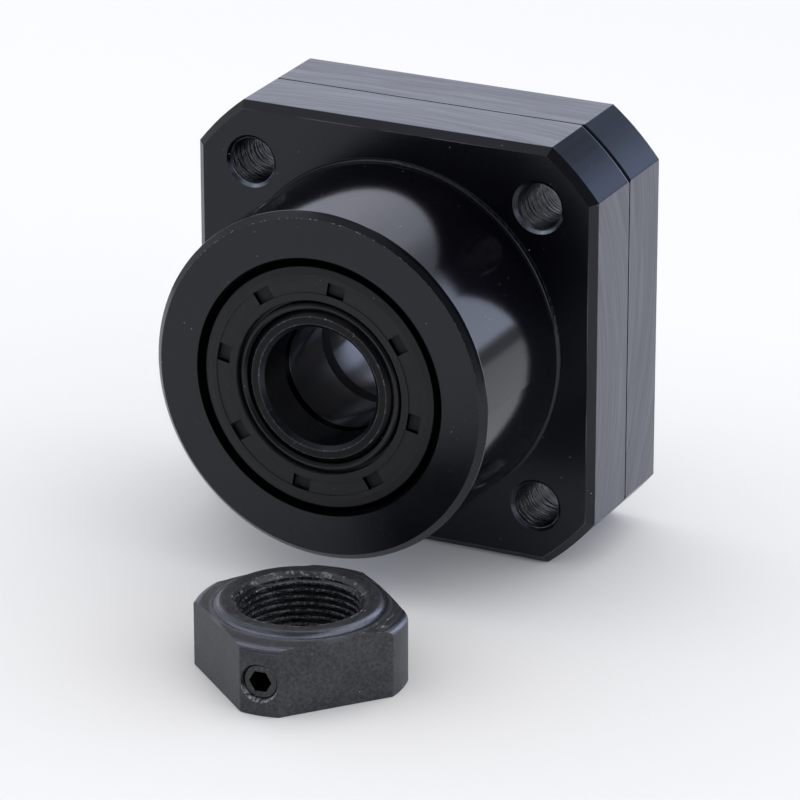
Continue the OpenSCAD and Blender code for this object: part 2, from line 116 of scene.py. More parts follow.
# ---------------------------------------------------------------- node helpers
class Net:
    """A small builder for shader nodes: its calls return output sockets."""

    def __init__(self, tree):
        self.t = tree

    def node(self, kind, **props):
        n = self.t.nodes.new(kind)
        for k, v in props.items():
            setattr(n, k, v)
        return n

    def put(self, socket, value):
        if isinstance(value, bpy.types.NodeSocket):
            self.t.links.new(value, socket)
        else:
            socket.default_value = value

    def math(self, op, a, b=0.0):
        n = self.node("ShaderNodeMath", operation=op)
        self.put(n.inputs[0], a)
        self.put(n.inputs[1], b)
        return n.outputs[0]

    def add(self, a, b): return self.math("ADD", a, b)
    def sub(self, a, b): return self.math("SUBTRACT", a, b)
    def mul(self, a, b): return self.math("MULTIPLY", a, b)
    def hi(self, a, b): return self.math("MAXIMUM", a, b)
    def inv(self, a): return self.math("SUBTRACT", 1.0, a)
    def absv(self, a): return self.math("ABSOLUTE", a)

    def hypot(self, a, b):
        return self.math("SQRT", self.add(self.mul(a, a), self.mul(b, b)))

    def ramp(self, x, a, b):
        """0 at a and 1 at b, smooth between them; a may be the larger one."""
        n = self.node("ShaderNodeMapRange", interpolation_type="SMOOTHSTEP")
        n.clamp = True
        self.put(n.inputs["Value"], x)
        self.put(n.inputs["From Min"], a)
        self.put(n.inputs["From Max"], b)
        return n.outputs[0]

    def ramp_mm(self, x, a, b):
        return self.ramp(x, a * MM, b * MM)

    def near_mm(self, x, at, soft, full):
        """1 within full mm of a place, fading to 0 at soft mm from it."""
        return self.ramp_mm(self.absv(self.sub(x, at * MM)), soft, full)

    def coord(self):
        return self.node("ShaderNodeTexCoord").outputs["Object"]

    def split(self, v):
        n = self.node("ShaderNodeSeparateXYZ")
        self.put(n.inputs[0], v)
        return n.outputs[0], n.outputs[1], n.outputs[2]

    def join(self, x, y, z):
        n = self.node("ShaderNodeCombineXYZ")
        self.put(n.inputs[0], x)
        self.put(n.inputs[1], y)
        self.put(n.inputs[2], z)
        return n.outputs[0]

    def vec(self, op, a, b):
        n = self.node("ShaderNodeVectorMath", operation=op)
        self.put(n.inputs[0], a)
        self.put(n.inputs[1], b)
        return n.outputs["Value"] if op == "DOT_PRODUCT" else n.outputs[0]

    def scaled(self, v, scale):
        n = self.node("ShaderNodeVectorMath", operation="SCALE")
        self.put(n.inputs[0], v)
        self.put(n.inputs["Scale"], scale)
        return n.outputs[0]

    def noise(self, v, scale, detail=3.0, rough=0.55, distortion=0.0):
        n = self.node("ShaderNodeTexNoise", noise_dimensions="3D")
        self.put(n.inputs["Vector"], v)
        self.put(n.inputs["Scale"], scale)
        self.put(n.inputs["Detail"], detail)
        self.put(n.inputs["Roughness"], rough)
        self.put(n.inputs["Distortion"], distortion)
        return n.outputs[0]

    def cells(self, v, scale):
        """Distance from the nearest of many scattered points."""
        n = self.node("ShaderNodeTexVoronoi", feature="F1")
        self.put(n.inputs["Vector"], v)
        self.put(n.inputs["Scale"], scale)
        return n.outputs["Distance"]

    def mix(self, f, a, b):
        """Colour a where f is 0 and colour b where it is 1."""
        n = self.node("ShaderNodeMix", data_type="RGBA")
        self.put(n.inputs["Factor"], f)
        ins = [s for s in n.inputs if s.type == "RGBA"]
        for socket, c in zip(ins, (a, b)):
            self.put(socket, c if isinstance(c, bpy.types.NodeSocket) else (*c, 1))
        return [s for s in n.outputs if s.type == "RGBA"][0]

    def mixf(self, f, a, b):
        n = self.node("ShaderNodeMix", data_type="FLOAT")
        ins = [s for s in n.inputs if s.type == "VALUE"]
        for socket, value in zip(ins, (f, a, b)):
            self.put(socket, value)
        return [s for s in n.outputs if s.type == "VALUE"][0]

    def bump(self, height, distance):
        n = self.node("ShaderNodeBump")
        self.put(n.inputs["Height"], height)
        self.put(n.inputs["Distance"], distance)
        self.put(n.inputs["Strength"], 1.0)
        return n.outputs[0]


def material(name):
    m = bpy.data.materials.new(name)
    m.use_nodes = True
    t = m.node_tree
    shader = next(n for n in t.nodes if n.type == "BSDF_PRINCIPLED")
    return m, Net(t), shader


# ---------------------------------------------------------------- materials
DUST = (0.42, 0.44, 0.47)


def dust(g, v, share=0.5, size=0.12):
    """Sparse pale specks: share at a speck, 0 elsewhere."""
    d = g.cells(v, 900.0)
    pick = g.noise(v, 5200.0, 0.0)
    keep = g.ramp(g.noise(v, 240.0, 1.0), 0.54, 0.62)
    speck = g.mul(g.ramp(d, size, size * 0.55), g.ramp(pick, 0.54, 0.6))
    return g.mul(speck, g.mul(keep, share))


def ring_coords(g, v):
    """Place along the shaft axis, then radius and angle about it."""
    x, y, z = g.split(v)
    return y, g.hypot(x, z), g.math("ARCTAN2", z, x)


def screw_coords(g, v):
    """Place along the set screw's axis from the nut's centre, and distance from that axis."""
    turn = math.radians(NUT_TURN + SET_SCREW_TURN)
    centre = (NUT_X * MM, -NUT_AHEAD * MM, (FLOOR_Z + SET_SCREW_Z) * MM)
    w = g.vec("SUBTRACT", v, centre)
    along = g.vec("DOT_PRODUCT", w, (math.cos(turn), math.sin(turn), 0))
    away = g.math("SQRT", g.sub(g.vec("DOT_PRODUCT", w, w), g.mul(along, along)))
    return along, away


def hole_distance(g, x, z):
    """Offsets and distance from the axis of the nearest of the four mounting holes."""
    c = MOUNT_PCD / 2 * math.sqrt(0.5) * MM
    hx, hz = g.sub(g.absv(x), c), g.sub(g.absv(z), c)
    return hx, hz, g.hypot(hx, hz)


def milling_marks(g, v, x, y, z, on_top, on_cover):
    """Lines, broad waves and fine grooves of a large cutter, fanned on the sides."""
    wobble = g.mul(g.sub(g.noise(v, 45.0, 2.0), 0.5), 0.0012)
    zc = g.add(z, g.mixf(on_cover, 0.004, -0.010))
    bow_side = g.mul(g.mul(zc, zc), g.mixf(on_cover, 9.5, 7.5))
    bow_top = g.mul(g.mul(x, x), g.mixf(on_cover, 4.6, 0.9))
    rows = g.add(g.add(y, g.mixf(on_top, bow_side, bow_top)), wobble)
    along = g.mixf(on_top, z, x)

    def drawn_out(across, lengthwise, seed, detail, rough):
        v = g.join(g.mul(rows, across), g.mul(along, lengthwise), seed)
        return g.noise(v, 1.0, detail, rough)

    return (drawn_out(2300.0, 60.0, 0.0, 3.0, 0.66), drawn_out(520.0, 18.0, 3.7, 2.0, 0.5),
            drawn_out(7000.0, 150.0, 9.1, 1.0, 0.5))


def drill_marks(g, y, hx, hz, hd):
    """Short ragged grooves that climb round each mounting hole, and where they are torn."""
    turn = g.math("ARCTAN2", hz, hx)
    climb = g.add(g.mul(y, 2500.0), g.mul(turn, 0.7))
    grooves = g.noise(g.join(climb, g.mul(turn, 0.9), g.mul(hd, 100.0)), 1.0, 1.5, 0.55, 0.5)
    torn = g.noise(g.join(g.mul(y, 700.0), g.mul(turn, 3.0), 5.0), 1.0, 2.0, 0.6)
    return grooves, torn


def nose_wear(g, y, r, ang, nick):
    """Chips round the nose's chamfer, most at the upper left, and a painted highlight line at its
    brim.
    """
    upper_left = g.mul(g.ramp(ang, 0.9, 1.5), g.ramp(ang, 2.9, 2.3))
    nose = g.mul(g.near_mm(r, SPIGOT_R - NOSE_CHAMFER, 0.07, 0.02),
                 g.ramp_mm(y, NOSE_Y + 0.15, NOSE_Y + 0.05))
    share = g.add(0.12, g.mul(upper_left, 0.6))
    chips = g.mul(nose, g.mul(g.ramp(nick, 0.56, 0.64), share))
    brim_highlight = g.mul(g.near_mm(y, NOSE_Y + NOSE_CHAMFER, 0.08, 0.02),
                 g.near_mm(r, SPIGOT_R, 0.10, 0.05))
    return chips, brim_highlight


def bevel_line(g, y, r, ax, az, patch):
    """Rubbed line along the inner edge of the flange's front bevel."""
    off_corner = g.ramp_mm(r, CORNER_R - 0.8, CORNER_R - 1.0)
    edge_x = g.mul(g.near_mm(ax, FLANGE_R - FRONT_BEVEL, 0.06, 0.02), off_corner)
    edge_z = g.mul(g.near_mm(az, FLANGE_R - FRONT_BEVEL, 0.06, 0.02), off_corner)
    edge_c = g.near_mm(r, CORNER_R - FRONT_BEVEL, 0.06, 0.02)
    return g.mul(g.mul(g.hi(g.hi(edge_x, edge_z), edge_c), g.ramp_mm(y, 0.2, 0.1)), patch)


def hole_mouth(g, y, z, hz, hd):
    """Countersunk mouths of the mounting holes, bare on their lower side."""
    mouth_r = MOUNT_HOLE_R + MOUNT_CHAMFER
    low = g.ramp_mm(g.mul(g.mul(hz, g.math("SIGN", z)), -1.0), 0.2, 2.6)
    mouth = g.mul(g.ramp_mm(hd, MOUNT_HOLE_R + 0.02, MOUNT_HOLE_R + 0.10),
                  g.ramp_mm(hd, mouth_r + 0.05, mouth_r - 0.01))
    mouth = g.mul(mouth, g.ramp_mm(y, 0.0, 0.04))
    return g.mul(g.mul(mouth, g.ramp_mm(y, 0.7, 0.6)), low)


def black_oxide():
    """Blackened steel: milled flats, turned corners and spigot, drilled holes, worn edges."""
    m, g, s = material("black_oxide")
    v = g.coord()
    x, _, z = g.split(v)
    y, r, ang = ring_coords(g, v)
    ax, az = g.absv(x), g.absv(z)
    # regions
    on_side = g.ramp_mm(ax, FLANGE_R - 0.08, FLANGE_R - 0.01)
    on_top = g.ramp_mm(az, FLANGE_R - 0.08, FLANGE_R - 0.01)
    milled = g.hi(on_side, on_top)
    corner = g.ramp_mm(r, CORNER_R - 0.05, CORNER_R)
    seam_mid = SEAM_Y + SEAM_GAP / 2
    cover = g.ramp_mm(y, seam_mid - 0.01, seam_mid + 0.01)
    on_spigot = g.mul(g.near_mm(r, SPIGOT_R, 0.4, 0.2), g.ramp_mm(y, -0.2, -0.6))
    fillet = g.mul(g.ramp_mm(y, -0.6, -0.5),
                   g.mul(g.ramp_mm(r, SPIGOT_R + 0.7, SPIGOT_R + 0.5), g.ramp_mm(y, 0.1, -0.1)))
    hx, hz, hd = hole_distance(g, x, z)
    in_hole = g.mul(g.ramp_mm(hd, MOUNT_HOLE_R + 0.15, MOUNT_HOLE_R + 0.08),
                    g.ramp_mm(y, 0.3, 0.6))
    # marks of the tools
    lines, broad, fine = milling_marks(g, v, x, y, z, on_top, cover)
    drill, torn = drill_marks(g, y, hx, hz, hd)
    rings = g.noise(g.join(g.mul(r, 9000.0), g.mul(ang, 1.1), g.mul(y, 300.0)), 1.0, 2.0, 0.6)
    grain = g.noise(v, 2600.0, 4.0, 0.65)
    blot = g.noise(v, 95.0, 4.0, 0.6)
    # worn edges with painted highlight lines, and painted shade in the seam and the seal seat
    nick = g.noise(v, 3600.0, 2.0, 0.6)
    patch = g.ramp(g.noise(v, 70.0, 2.0), 0.45, 0.60)
    chips, brim_highlight = nose_wear(g, y, r, ang, nick)
    rim = bevel_line(g, y, r, ax, az, patch)
    mouth = hole_mouth(g, y, z, hz, hd)
    seam_highlight = g.mul(g.near_mm(y, SEAM_Y - 0.42, 0.08, 0.02), corner)
    seam = g.mul(g.near_mm(y, SEAM_Y + 0.05, 0.44, 0.34), corner)
    seat_r = SEAL_R + SEAL_LEAD_IN
    seat = g.mul(g.ramp_mm(r, SEAL_R - 0.3, SEAL_R - 0.1),
                 g.ramp_mm(r, seat_r + 0.18, seat_r + 0.08))
    seat = g.mul(seat, g.ramp_mm(y, NOSE_Y + 1.5, NOSE_Y + 1.2))
    # colour
    base = g.mix(blot, (0.0008, 0.0008, 0.0018), (0.0026, 0.0026, 0.0042))
    worn = g.add(g.mul(g.ramp(lines, 0.35, 0.7), 0.6), g.mul(g.ramp(broad, 0.35, 0.7), 0.4))
    # painted light: the milled top flats are painted lighter than the side flats
    bright = g.mix(on_top, (0.085, 0.092, 0.114), (0.137, 0.148, 0.180))
    base = g.mix(milled, base, g.mix(worn, (0.030, 0.034, 0.045), bright))
    scraped = g.mul(in_hole, g.mul(g.ramp(drill, 0.54, 0.66), g.ramp(torn, 0.35, 0.6)))
    base = g.mix(scraped, base, (0.038, 0.043, 0.056))
    # turned corners: painted shade, darker towards the top and lighter, bluer towards the side
    corner_shading = g.ramp_mm(g.sub(az, ax), 6.0, -5.0)
    corner_base = g.mix(g.add(g.mul(corner_shading, 0.8), g.mul(blot, 0.2)), (0.004, 0.0045, 0.006),
                        (0.030, 0.034, 0.044))
    corner_base = g.mix(g.mul(cover, 0.42), corner_base, (0.045, 0.050, 0.062))
    base = g.mix(corner, base, corner_base)
    base = g.mix(mouth, base, g.mix(nick, (0.07, 0.08, 0.10), (0.30, 0.34, 0.42)))
    # painted shade: black in and around the gap between the two plates
    base = g.mix(seam, base, (0.0004, 0.0004, 0.0006))
    base = g.mix(g.mul(chips, 0.8), base, (0.36, 0.38, 0.41))
    # painted highlight: a light line along the brim of the nose
    base = g.mix(g.mul(brim_highlight, g.mul(patch, 0.7)), base, (0.16, 0.18, 0.22))
    base = g.mix(g.mul(rim, 0.5), base, (0.12, 0.13, 0.15))
    # painted highlight: a light line along the edge just in front of the seam
    base = g.mix(g.mul(seam_highlight, 0.8), base, (0.22, 0.24, 0.30))
    base = g.mix(g.hi(dust(g, v), dust(g, g.scaled(v, 1.7), 0.30, 0.10)), base, DUST)
    # painted shade: black on the seal seat's lead-in chamfer
    base = g.mix(seat, base, (0.0006, 0.0006, 0.0009))
    g.put(s.inputs["Base Color"], base)
    g.put(s.inputs["Metallic"], g.hi(g.hi(corner, mouth), seat))
    # gloss
    rough = g.add(0.21, g.mul(blot, 0.10))
    rough = g.mixf(on_spigot, rough, g.add(0.085, g.mul(grain, 0.06)))
    rough = g.mixf(milled, rough, g.add(0.22, g.mul(broad, 0.16)))
    rough = g.mixf(corner, rough, g.add(0.22, g.mul(grain, 0.08)))
    rough = g.mixf(fillet, rough, 0.05)
    rough = g.mixf(seam, rough, 0.8)
    g.put(s.inputs["Roughness"], rough)
    s.inputs["IOR"].default_value = 1.45
    s.inputs["Specular Tint"].default_value = (0.84, 0.90, 1.0, 1.0)
    # relief
    h = g.mul(milled, g.add(g.mul(lines, 1.3), g.add(g.mul(broad, 1.2), g.mul(fine, 0.3))))
    h = g.add(h, g.mul(grain, 0.10))
    h = g.add(h, g.mul(g.mul(rings, 0.10), g.inv(milled)))
    h = g.add(h, g.mul(in_hole, g.mul(drill, 9.0)))
    g.put(s.inputs["Normal"], g.bump(h, 0.00002))
    return m


def ground_bore():
    """Hardened bearing steel, ground and lightly oiled."""
    m, g, s = material("bearing_ground")
    v = g.coord()
    y, r, ang = ring_coords(g, v)
    grain = g.noise(v, 2600.0, 3.0, 0.6)
    hone = g.noise(g.join(g.mul(y, 9000.0), g.mul(ang, 1.5), g.mul(r, 2000.0)), 1.0, 2.0, 0.6)
    blot = g.noise(v, 120.0, 3.0, 0.6)
    tone = g.add(g.mul(blot, 0.6), g.mul(hone, 0.4))
    # painted shade: the rear bearing, deeper in the bore, is painted darker than the front one
    base = g.mix(g.ramp_mm(y, BEARING_MID - 0.5, BEARING_MID + 0.5),
                 g.mix(tone, (0.085, 0.085, 0.088), (0.165, 0.164, 0.170)),
                 g.mix(tone, (0.040, 0.043, 0.049), (0.090, 0.095, 0.108)))
    # painted shade: the corner chamfers and side faces are painted dark, and painted lighter where
    # the bearings meet
    faces = g.mul(g.ramp_mm(r, BORE_R + 0.003, BORE_R + 0.030),
                  g.ramp_mm(r, COLLAR_R + 0.2, COLLAR_R - 0.2))
    middle = g.near_mm(y, BEARING_MID, 1.6, 1.3)
    base = g.mix(faces, base, g.mix(middle, (0.004, 0.004, 0.005), (0.130, 0.130, 0.138)))
    g.put(s.inputs["Base Color"], base)
    g.put(s.inputs["Roughness"], g.add(0.13, g.mul(grain, 0.07)))
    g.put(s.inputs["Metallic"], g.inv(g.mul(g.mul(faces, middle), 0.8)))
    g.put(s.inputs["Normal"], g.bump(g.add(hone, g.mul(grain, 0.3)), 0.0000015))
    return m


def seal_rubber():
    """Moulded nitrile: dull, faintly uneven, with a glossier lip."""
    m, g, s = material("seal_black")
    v = g.coord()
    y, r = ring_coords(g, v)[:2]
    grain = g.noise(v, 3200.0, 3.0, 0.6)
    blot = g.noise(v, 160.0, 4.0, 0.6)
    inner, outer = SEAL_BAND
    band = g.mul(g.ramp_mm(r, inner - 0.15, inner), g.ramp_mm(r, outer + 0.10, outer - 0.05))
    lip = g.ramp_mm(r, COLLAR_R + 1.4, COLLAR_R + 1.2)
    base = g.mix(blot, (0.0105, 0.0112, 0.0125), (0.0165, 0.0175, 0.0190))
    base = g.mix(g.mul(band, 0.6), base, (0.0135, 0.0160, 0.0160))
    base = g.mix(g.mul(lip, 0.8), base, (0.005, 0.0055, 0.0070))
    # the mould pockets: painted light on their floors, painted shadow on their sharp walls
    facing = g.absv(g.split(g.node("ShaderNodeNewGeometry").outputs["True Normal"])[1])
    wall = g.mul(band, g.ramp(facing, 0.5, 0.3))
    sunk = g.mul(band, g.ramp_mm(g.sub(SEAL_FACE * MM, g.absv(y)), 0.1, 0.3))
    base = g.mix(g.mul(sunk, 0.5), base, (0.0125, 0.0145, 0.0150))
    base = g.mix(wall, base, (0.0004, 0.0004, 0.0005))
    # the outer edge lies in the shadow of its seat
    brink = g.ramp_mm(r, SEAL_R - 0.35, SEAL_R - 0.22)
    base = g.mix(brink, base, (0.0008, 0.0008, 0.0010))
    base = g.mix(dust(g, v, 0.45), base, (0.30, 0.31, 0.32))
    g.put(s.inputs["Base Color"], base)
    g.put(s.inputs["Metallic"], g.hi(wall, brink))
    rough = g.mixf(lip, g.add(0.50, g.mul(grain, 0.16)), g.add(0.17, g.mul(grain, 0.10)))
    g.put(s.inputs["Roughness"], g.mixf(wall, rough, 0.9))
    s.inputs["Specular IOR Level"].default_value = 0.26
    g.put(s.inputs["Normal"], g.bump(g.add(grain, g.mul(blot, 0.4)), 0.000008))
    return m


def collar_black():
    """Ground and blackened ring, with worn bright specks and a painted highlight line along its
    edges.
    """
    m, g, s = material("collar_black")
    v = g.coord()
    y, r, ang = ring_coords(g, v)
    grain = g.noise(v, 2600.0, 3.0, 0.6)
    rings = g.noise(g.join(g.mul(r, 8000.0), g.mul(ang, 1.3), g.mul(y, 4000.0)), 1.0, 2.0, 0.6)
    bore_edge = BORE_R + COLLAR_BORE_CHAMFER
    edge = g.hi(g.near_mm(r, COLLAR_R - COLLAR_CHAMFER, 0.12, 0.03),
                g.near_mm(r, bore_edge, 0.12, 0.03))
    chips = g.mul(edge, g.ramp(g.noise(v, 2600.0, 3.0, 0.7), 0.54, 0.66))
    bare = g.mul(g.ramp_mm(r, bore_edge + 0.2, bore_edge),
                 g.ramp_mm(y, NOSE_Y + 0.75, NOSE_Y + 0.6))
    base = g.mix(grain, (0.0014, 0.0014, 0.0020), (0.0036, 0.0036, 0.0046))
    base = g.mix(g.mul(bare, 0.85), base, (0.030, 0.033, 0.040))
    # painted highlight: a faint light line along both edges; the worn specks lie on it
    base = g.mix(g.mul(edge, 0.22), base, (0.10, 0.11, 0.13))
    base = g.mix(g.mul(chips, 0.5), base, (0.25, 0.26, 0.28))
    base = g.mix(dust(g, v), base, DUST)
    g.put(s.inputs["Base Color"], base)
    g.put(s.inputs["Metallic"], g.mul(bare, 0.9))
    g.put(s.inputs["Roughness"], g.add(0.24, g.mul(grain, 0.10)))
    s.inputs["IOR"].default_value = 1.27
    g.put(s.inputs["Normal"], g.bump(g.add(rings, g.mul(grain, 0.5)), 0.000003))
    return m


def nut_dust(g, v, nr, na, h, inside, cone):
    """Shares of dust on the thread's crests, at its mouth and swept along the cone."""
    crest = g.mul(inside, g.ramp_mm(nr, 8.18, 8.02))
    thread = g.mul(crest, g.ramp(g.noise(v, 2600.0, 3.0, 0.7), 0.50, 0.62))
    mouth = g.mul(g.near_mm(nr, NUT_MOUTH_R - 0.2, 0.6, 0.2),
                  g.ramp_mm(h, NUT_H - 1.3, NUT_H - 0.8))
    mouth = g.mul(mouth, g.ramp(g.noise(v, 1300.0, 3.0, 0.7), 0.52, 0.64))
    # thick on the right and back left of the cone, almost none in front
    right = g.ramp(g.math("COSINE", g.add(na, 0.35)), 0.80, 0.97)
    back_left = g.mul(g.ramp(g.math("COSINE", g.sub(na, 2.6)), 0.70, 0.95), 0.6)
    sweep = g.noise(g.join(g.mul(nr, 3200.0), g.mul(na, 6.0), 0.0), 1.0, 3.0, 0.75)
    share = g.add(0.05, g.mul(g.hi(right, back_left), 0.7))
    return thread, mouth, g.mul(g.mul(cone, g.ramp(sweep, 0.52, 0.66)), share)


def hole_dust(g, v, h):
    """Dust packed round the lower edge of the set screw's hole."""
    along, away = screw_coords(g, v)
    below = g.ramp_mm(g.sub(h, SET_SCREW_Z * MM), -0.4, -1.6)
    ring = g.mul(g.near_mm(away, SET_SCREW_HOLE_R + 0.08, 0.22, 0.06),
                 g.ramp_mm(along, NUT_CORNER_R - 2.0, NUT_CORNER_R - 1.5))
    return g.mul(ring, g.mul(below, g.ramp(g.noise(v, 2400.0, 3.0, 0.7), 0.46, 0.58)))


def nut_black():
    """Tumbled and blackened: speckled and dull, with rubbed edges and packed dust."""
    m, g, s = material("nut_black")
    v = g.coord()
    x, y, z = g.split(v)
    px, py = g.sub(x, NUT_X * MM), g.sub(y, -NUT_AHEAD * MM)
    nr, na = g.hypot(px, py), g.math("ARCTAN2", py, px)
    h = g.add(z, -FLOOR_Z * MM)
    up = g.split(g.node("ShaderNodeNewGeometry").outputs["Normal"])[2]
    # regions: bore, foot of the seat ring, cone round it, rounding over the corners
    inside = g.ramp_mm(nr, NUT_MOUTH_R - 0.1, NUT_MOUTH_R - 0.4)
    top = g.ramp_mm(h, NUT_CORNER_H - 0.15, NUT_CORNER_H + 0.05)
    foot = g.mul(g.near_mm(nr, NUT_RING_R + 0.55, 1.0, 0.3), top)
    cone = g.mul(g.mul(g.ramp_mm(nr, NUT_RING_R + 0.75, NUT_RING_R + 1.25), top),
                 g.ramp(up, 0.6, 0.8))
    rim = g.mul(g.mul(g.ramp_mm(nr, NUT_CORNER_R - 1.3, NUT_CORNER_R - 0.9),
                      g.ramp_mm(h, NUT_CORNER_H - 1.1, NUT_CORNER_H - 0.8)),
                g.ramp(up, 0.12, 0.35))
    grain = g.noise(v, 2100.0, 4.0, 0.68)
    speck = g.noise(v, 3400.0, 2.0, 0.6)
    blot = g.noise(v, 210.0, 4.0, 0.6)
    streak = g.noise(g.join(g.mul(nr, 5200.0), g.mul(na, 2.2), g.mul(h, 2500.0)), 1.0, 2.0, 0.65)
    # colour
    mottle = g.ramp(g.add(g.mul(grain, 0.75), g.mul(blot, 0.25)), 0.36, 0.64)
    base = g.mix(mottle, (0.006, 0.0066, 0.0082), (0.034, 0.0365, 0.044))
    base = g.mix(g.mul(cone, 0.55), base, (0.006, 0.0066, 0.0085))
    base = g.mix(g.mul(g.ramp(speck, 0.60, 0.72), 0.35), base, (0.075, 0.08, 0.09))
    # painted shade: darker inside the bore
    base = g.mix(g.mul(inside, 0.75), base, (0.005, 0.0055, 0.0075))
    # turned streaks painted lighter as a sheen at the foot of the seat ring and in the bore
    painted_sheen = g.mul(g.hi(foot, inside), g.mul(g.ramp(streak, 0.50, 0.7), 0.5))
    base = g.mix(painted_sheen, base, (0.055, 0.062, 0.078))
    thread_dust, mouth_dust, cone_dust = nut_dust(g, v, nr, na, h, inside, cone)
    base = g.mix(g.mul(thread_dust, 0.5), base, (0.17, 0.18, 0.19))
    base = g.mix(g.mul(mouth_dust, 0.6), base, (0.24, 0.25, 0.26))
    base = g.mix(cone_dust, base, (0.26, 0.27, 0.28))
    rubbed = g.mul(g.hi(foot, rim), g.add(0.55, g.mul(g.ramp(streak, 0.35, 0.65), 0.45)))
    base = g.mix(rubbed, base, (0.135, 0.146, 0.180))
    base = g.mix(g.mul(hole_dust(g, v, h), 0.8), base, (0.36, 0.37, 0.38))
    base = g.mix(dust(g, v, 0.7), base, (0.5, 0.51, 0.52))
    g.put(s.inputs["Base Color"], base)
    g.put(s.inputs["Metallic"], g.mul(g.hi(foot, rim), 0.85))
    # gloss and relief
    rough = g.add(0.40, g.mul(grain, 0.2))
    rough = g.mixf(g.hi(foot, rim), rough, g.add(0.20, g.mul(streak, 0.14)))
    g.put(s.inputs["Roughness"], g.mixf(inside, rough, 0.26))
    s.inputs["IOR"].default_value = 1.5
    turned = g.mul(g.mul(streak, 0.9), g.hi(top, inside))
    relief = g.add(g.mul(grain, 1.3), g.add(g.mul(speck, 0.35), turned))
    g.put(s.inputs["Normal"], g.bump(relief, 0.00003))
    return m


def screw_black():
    """Blackened screws; the set screw's socket is painted black as shade, in a dusty face."""
    m, g, s = material("screw_black")
    v = g.coord()
    grain = g.noise(v, 1800.0, 4.0, 0.6)
    blot = g.noise(v, 300.0, 3.0, 0.6)
    along, away = screw_coords(g, v)
    at_nut = g.ramp_mm(g.split(v)[1], -30.0, -35.0)      # the cap screws lie behind this
    face = SET_SCREW_TIP + SET_SCREW_LEN
    socket = g.mul(g.mul(at_nut, g.ramp_mm(away, 1.70, 1.60)),
                   g.ramp_mm(along, face - 0.09, face - 0.14))
    dusty = g.mul(at_nut, g.ramp(g.noise(v, 2400.0, 3.0, 0.7), 0.55, 0.68))
    base = g.mix(blot, (0.006, 0.0062, 0.0075), (0.017, 0.018, 0.021))
    base = g.mix(dusty, base, (0.09, 0.095, 0.10))
    # painted shade: the socket painted black
    base = g.mix(socket, base, (0.0003, 0.0003, 0.0004))
    g.put(s.inputs["Base Color"], base)
    g.put(s.inputs["Metallic"], socket)
    g.put(s.inputs["Roughness"], g.mixf(socket, g.add(0.28, g.mul(grain, 0.12)), 0.9))
    g.put(s.inputs["Normal"], g.bump(grain, 0.00002))
    return m


def plain(name, color, rough, metallic=0.0, bump=0.00001):
    """One colour in cloudy shades, for the pieces inside."""
    spread = 0.35
    m, g, s = material(name)
    v = g.coord()
    grain = g.noise(v, 2600.0, 4.0, 0.6)
    blot = g.noise(v, 140.0, 3.0, 0.6)
    dark = tuple(c * (1 - spread) for c in color)
    light = tuple(min(1.0, c * (1 + spread)) for c in color)
    g.put(s.inputs["Base Color"], g.mix(blot, dark, light))
    g.put(s.inputs["Roughness"], g.add(rough - 0.04, g.mul(grain, 0.1)))
    s.inputs["Metallic"].default_value = metallic
    s.inputs["IOR"].default_value = 1.5
    g.put(s.inputs["Normal"], g.bump(grain, bump))
    return m


MATS = {
    "black_oxide_steel": black_oxide(),
    "collar_steel": collar_black(),
    "bearing_steel": ground_bore(),
    "ball_steel": plain("ball_polished", (0.72, 0.73, 0.75), 0.06, metallic=1.0, bump=0.000001),
    "cage_polyamide": plain("cage_moulded", (0.62, 0.50, 0.30), 0.5),
    "seal_rubber": seal_rubber(),
    "spring_steel": plain("spring_bright", (0.5, 0.5, 0.5), 0.25, metallic=1.0),
    "screw_steel": screw_black(),
    "nut_steel": nut_black(),
    "set_piece_brass": plain("set_piece_brass_look", (0.6, 0.42, 0.16), 0.3, metallic=1.0),
}
slot_of = {p["node"]: p["material_slot"] for p in frame["record"]["subparts"]}
for name, obj in nodes.items():
    obj.data.materials.clear()
    obj.data.materials.append(MATS[slot_of[name]])


# ---------------------------------------------------------------- detailed pieces
def steps(a, b, n):
    """Values from a to b in n even steps, both ends included."""
    return [a + (b - a) * k / n for k in range(n + 1)]


def turns(n):
    """Angles of n equal steps round a circle."""
    return steps(0, 2 * math.pi, n)[:-1]


def object_of(name, bm):
    """Object of a finished mesh, its faces turned outwards."""
    bmesh.ops.recalc_face_normals(bm, faces=bm.faces)
    me = bpy.data.meshes.new(name)
    bm.to_mesh(me)
    bm.free()
    obj = bpy.data.objects.new(name, me)
    scene.collection.objects.link(obj)
    return obj


def mesh_piece(name, bm, slot, crease):
    """Smooth piece, sharp where it turns by more than crease degrees, in a slot's finish."""
    obj = object_of(name, bm)
    me = obj.data
    for poly in me.polygons:
        poly.use_smooth = True
    me.set_sharp_from_angle(angle=math.radians(crease))
    me.materials.append(MATS[slot])
    return obj


def spun(bm, place, angles, section, closed):
    """Skins the sections (lists of radius and height in mm) round an axis; place is in mm."""
    rows = []
    for a in angles:
        c, s = math.cos(a), math.sin(a)
        rows.append([bm.verts.new(place @ Vector((r * c, r * s, h)) * MM) for r, h in section(a)])
    n = len(rows[0])
    for i, row in enumerate(rows):
        nxt = rows[(i + 1) % len(rows)]
        for k in range(n if closed else n - 1):
            bm.faces.new((row[k], row[(k + 1) % n], nxt[(k + 1) % n], nxt[k]))
    if not closed:
        bmesh.ops.remove_doubles(bm, verts=bm.verts, dist=1e-8)


# a 60 degree thread, as shares of its pitch
THREAD_DEPTH, THREAD_FLANK, THREAD_ROOT = 0.5413, 0.3125, 0.125


